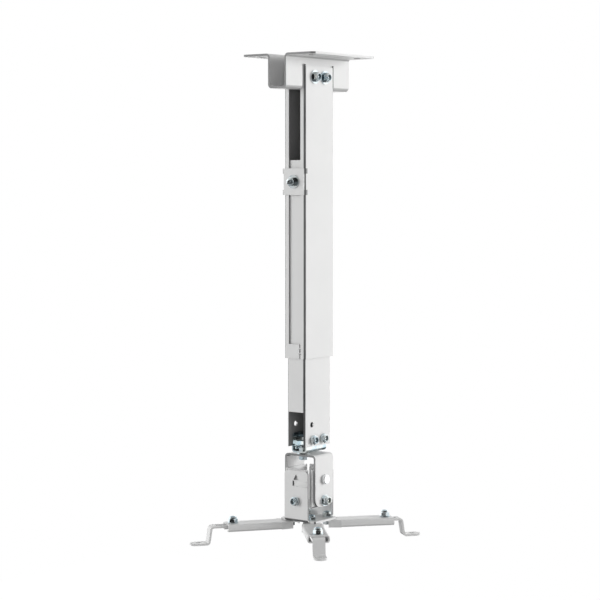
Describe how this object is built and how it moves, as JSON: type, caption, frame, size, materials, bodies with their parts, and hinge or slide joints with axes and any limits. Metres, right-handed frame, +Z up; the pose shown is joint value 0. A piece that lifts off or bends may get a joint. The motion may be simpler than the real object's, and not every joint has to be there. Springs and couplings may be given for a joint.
{
  "type": "projector ceiling mount",
  "caption": "White telescopic mount for a projector: flanged bracket, sliding tubes, swivel and tilt head, and spread arms with sliding drop feet.",
  "frame": {"origin": "centre of the ceiling bracket's screw pattern, on its upper face", "axes": "+Z up to the ceiling, X along the wide face of the tube and the bracket's channel, -X the slotted face"},
  "size_m": [0.1831, 0.1585, 0.4693],
  "materials": {
    "white_paint": "smooth white powder coat on folded sheet steel",
    "zinc_plate": "bright zinc plate with a faint blue tint"
  },
  "bodies": {
    "ceiling_mast": {"ceiling_bracket": "white_paint", "outer_tube": "white_paint", "top_bolts": "zinc_plate", "top_washers": "zinc_plate", "top_nuts": "zinc_plate"},
    "inner_mast": {"inner_tube": "white_paint", "clamp_plate": "white_paint", "clamp_bolt": "zinc_plate", "clamp_washer": "zinc_plate", "clamp_nut": "zinc_plate", "swivel_bracket": "zinc_plate", "lower_bolts": "zinc_plate", "lower_nuts": "zinc_plate", "swivel_bolt": "zinc_plate", "swivel_washer": "zinc_plate", "swivel_nut": "zinc_plate"},
    "swivel_head": {"upper_yoke": "white_paint", "stop_pins": "zinc_plate", "tilt_bolts": "zinc_plate", "tilt_washers": "zinc_plate", "tilt_nuts": "zinc_plate"},
    "tilt_block": {"cross_block": "white_paint"},
    "arm_base": {"lower_yoke": "white_paint", "roll_bolts": "zinc_plate", "roll_nuts": "zinc_plate", "arm_pivot_bolts": "zinc_plate", "arm_pivot_nuts": "zinc_plate"},
    "front_arm_body": {"front_arm": "white_paint", "front_foot_bolt": "zinc_plate", "front_foot_washer": "zinc_plate", "front_foot_nut": "zinc_plate"},
    "front_foot_body": {"front_foot": "white_paint"},
    "left_arm_body": {"left_arm": "white_paint", "left_foot_bolt": "zinc_plate", "left_foot_washer": "zinc_plate", "left_foot_nut": "zinc_plate"},
    "left_foot_body": {"left_foot": "white_paint"},
    "right_arm_body": {"right_arm": "white_paint", "right_foot_bolt": "zinc_plate", "right_foot_washer": "zinc_plate", "right_foot_nut": "zinc_plate"},
    "right_foot_body": {"right_foot": "white_paint"},
    "back_arm_body": {"back_arm": "white_paint", "back_foot_bolt": "zinc_plate", "back_foot_washer": "zinc_plate", "back_foot_nut": "zinc_plate"},
    "back_foot_body": {"back_foot": "white_paint"}
  },
  "joints": [
    {"name": "height_slide", "type": "slide", "parent": "ceiling_mast", "child": "inner_mast", "axis": [0, 0, 1], "range_m": [-0.142, 0.065]},
    {"name": "head_swivel", "type": "hinge", "parent": "inner_mast", "child": "swivel_head", "pos_m": [-0.009, 0, -0.3844], "axis": [0, 0, 1], "continuous": true},
    {"name": "head_tilt", "type": "hinge", "parent": "swivel_head", "child": "tilt_block", "pos_m": [0, 0, -0.4291], "axis": [0, 1, 0], "range_deg": [-7, 7]},
    {"name": "head_roll", "type": "hinge", "parent": "tilt_block", "child": "arm_base", "pos_m": [0, 0, -0.4291], "axis": [1, 0, 0], "range_deg": [-15, 15]},
    {"name": "front_arm_swing", "type": "hinge", "parent": "arm_base", "child": "front_arm_body", "pos_m": [-0.0125, -0.0125, -0.4498], "axis": [0, 0, 1], "range_deg": [-34, 42]},
    {"name": "front_foot_slide", "type": "slide", "parent": "front_arm_body", "child": "front_foot_body", "axis": [-0.7314, -0.682, 0], "range_m": [-0.0004, 0.045]},
    {"name": "left_arm_swing", "type": "hinge", "parent": "arm_base", "child": "left_arm_body", "pos_m": [-0.0125, 0.0125, -0.4498], "axis": [0, 0, -1], "range_deg": [-27, 49]},
    {"name": "left_foot_slide", "type": "slide", "parent": "left_arm_body", "child": "left_foot_body", "axis": [-0.809, 0.5878, 0], "range_m": [-0.0144, 0.031]},
    {"name": "right_arm_swing", "type": "hinge", "parent": "arm_base", "child": "right_arm_body", "pos_m": [0.0125, -0.0125, -0.4498], "axis": [0, 0, -1], "range_deg": [-31, 45]},
    {"name": "right_foot_slide", "type": "slide", "parent": "right_arm_body", "child": "right_foot_body", "axis": [0.766, -0.6428, 0], "range_m": [-0.0079, 0.0375]},
    {"name": "back_arm_swing", "type": "hinge", "parent": "arm_base", "child": "back_arm_body", "pos_m": [0.0125, 0.0125, -0.4498], "axis": [0, 0, 1], "range_deg": [-34, 42]},
    {"name": "back_foot_slide", "type": "slide", "parent": "back_arm_body", "child": "back_foot_body", "axis": [0.7314, 0.682, 0], "range_m": [-0.0144, 0.031]}
  ]
}
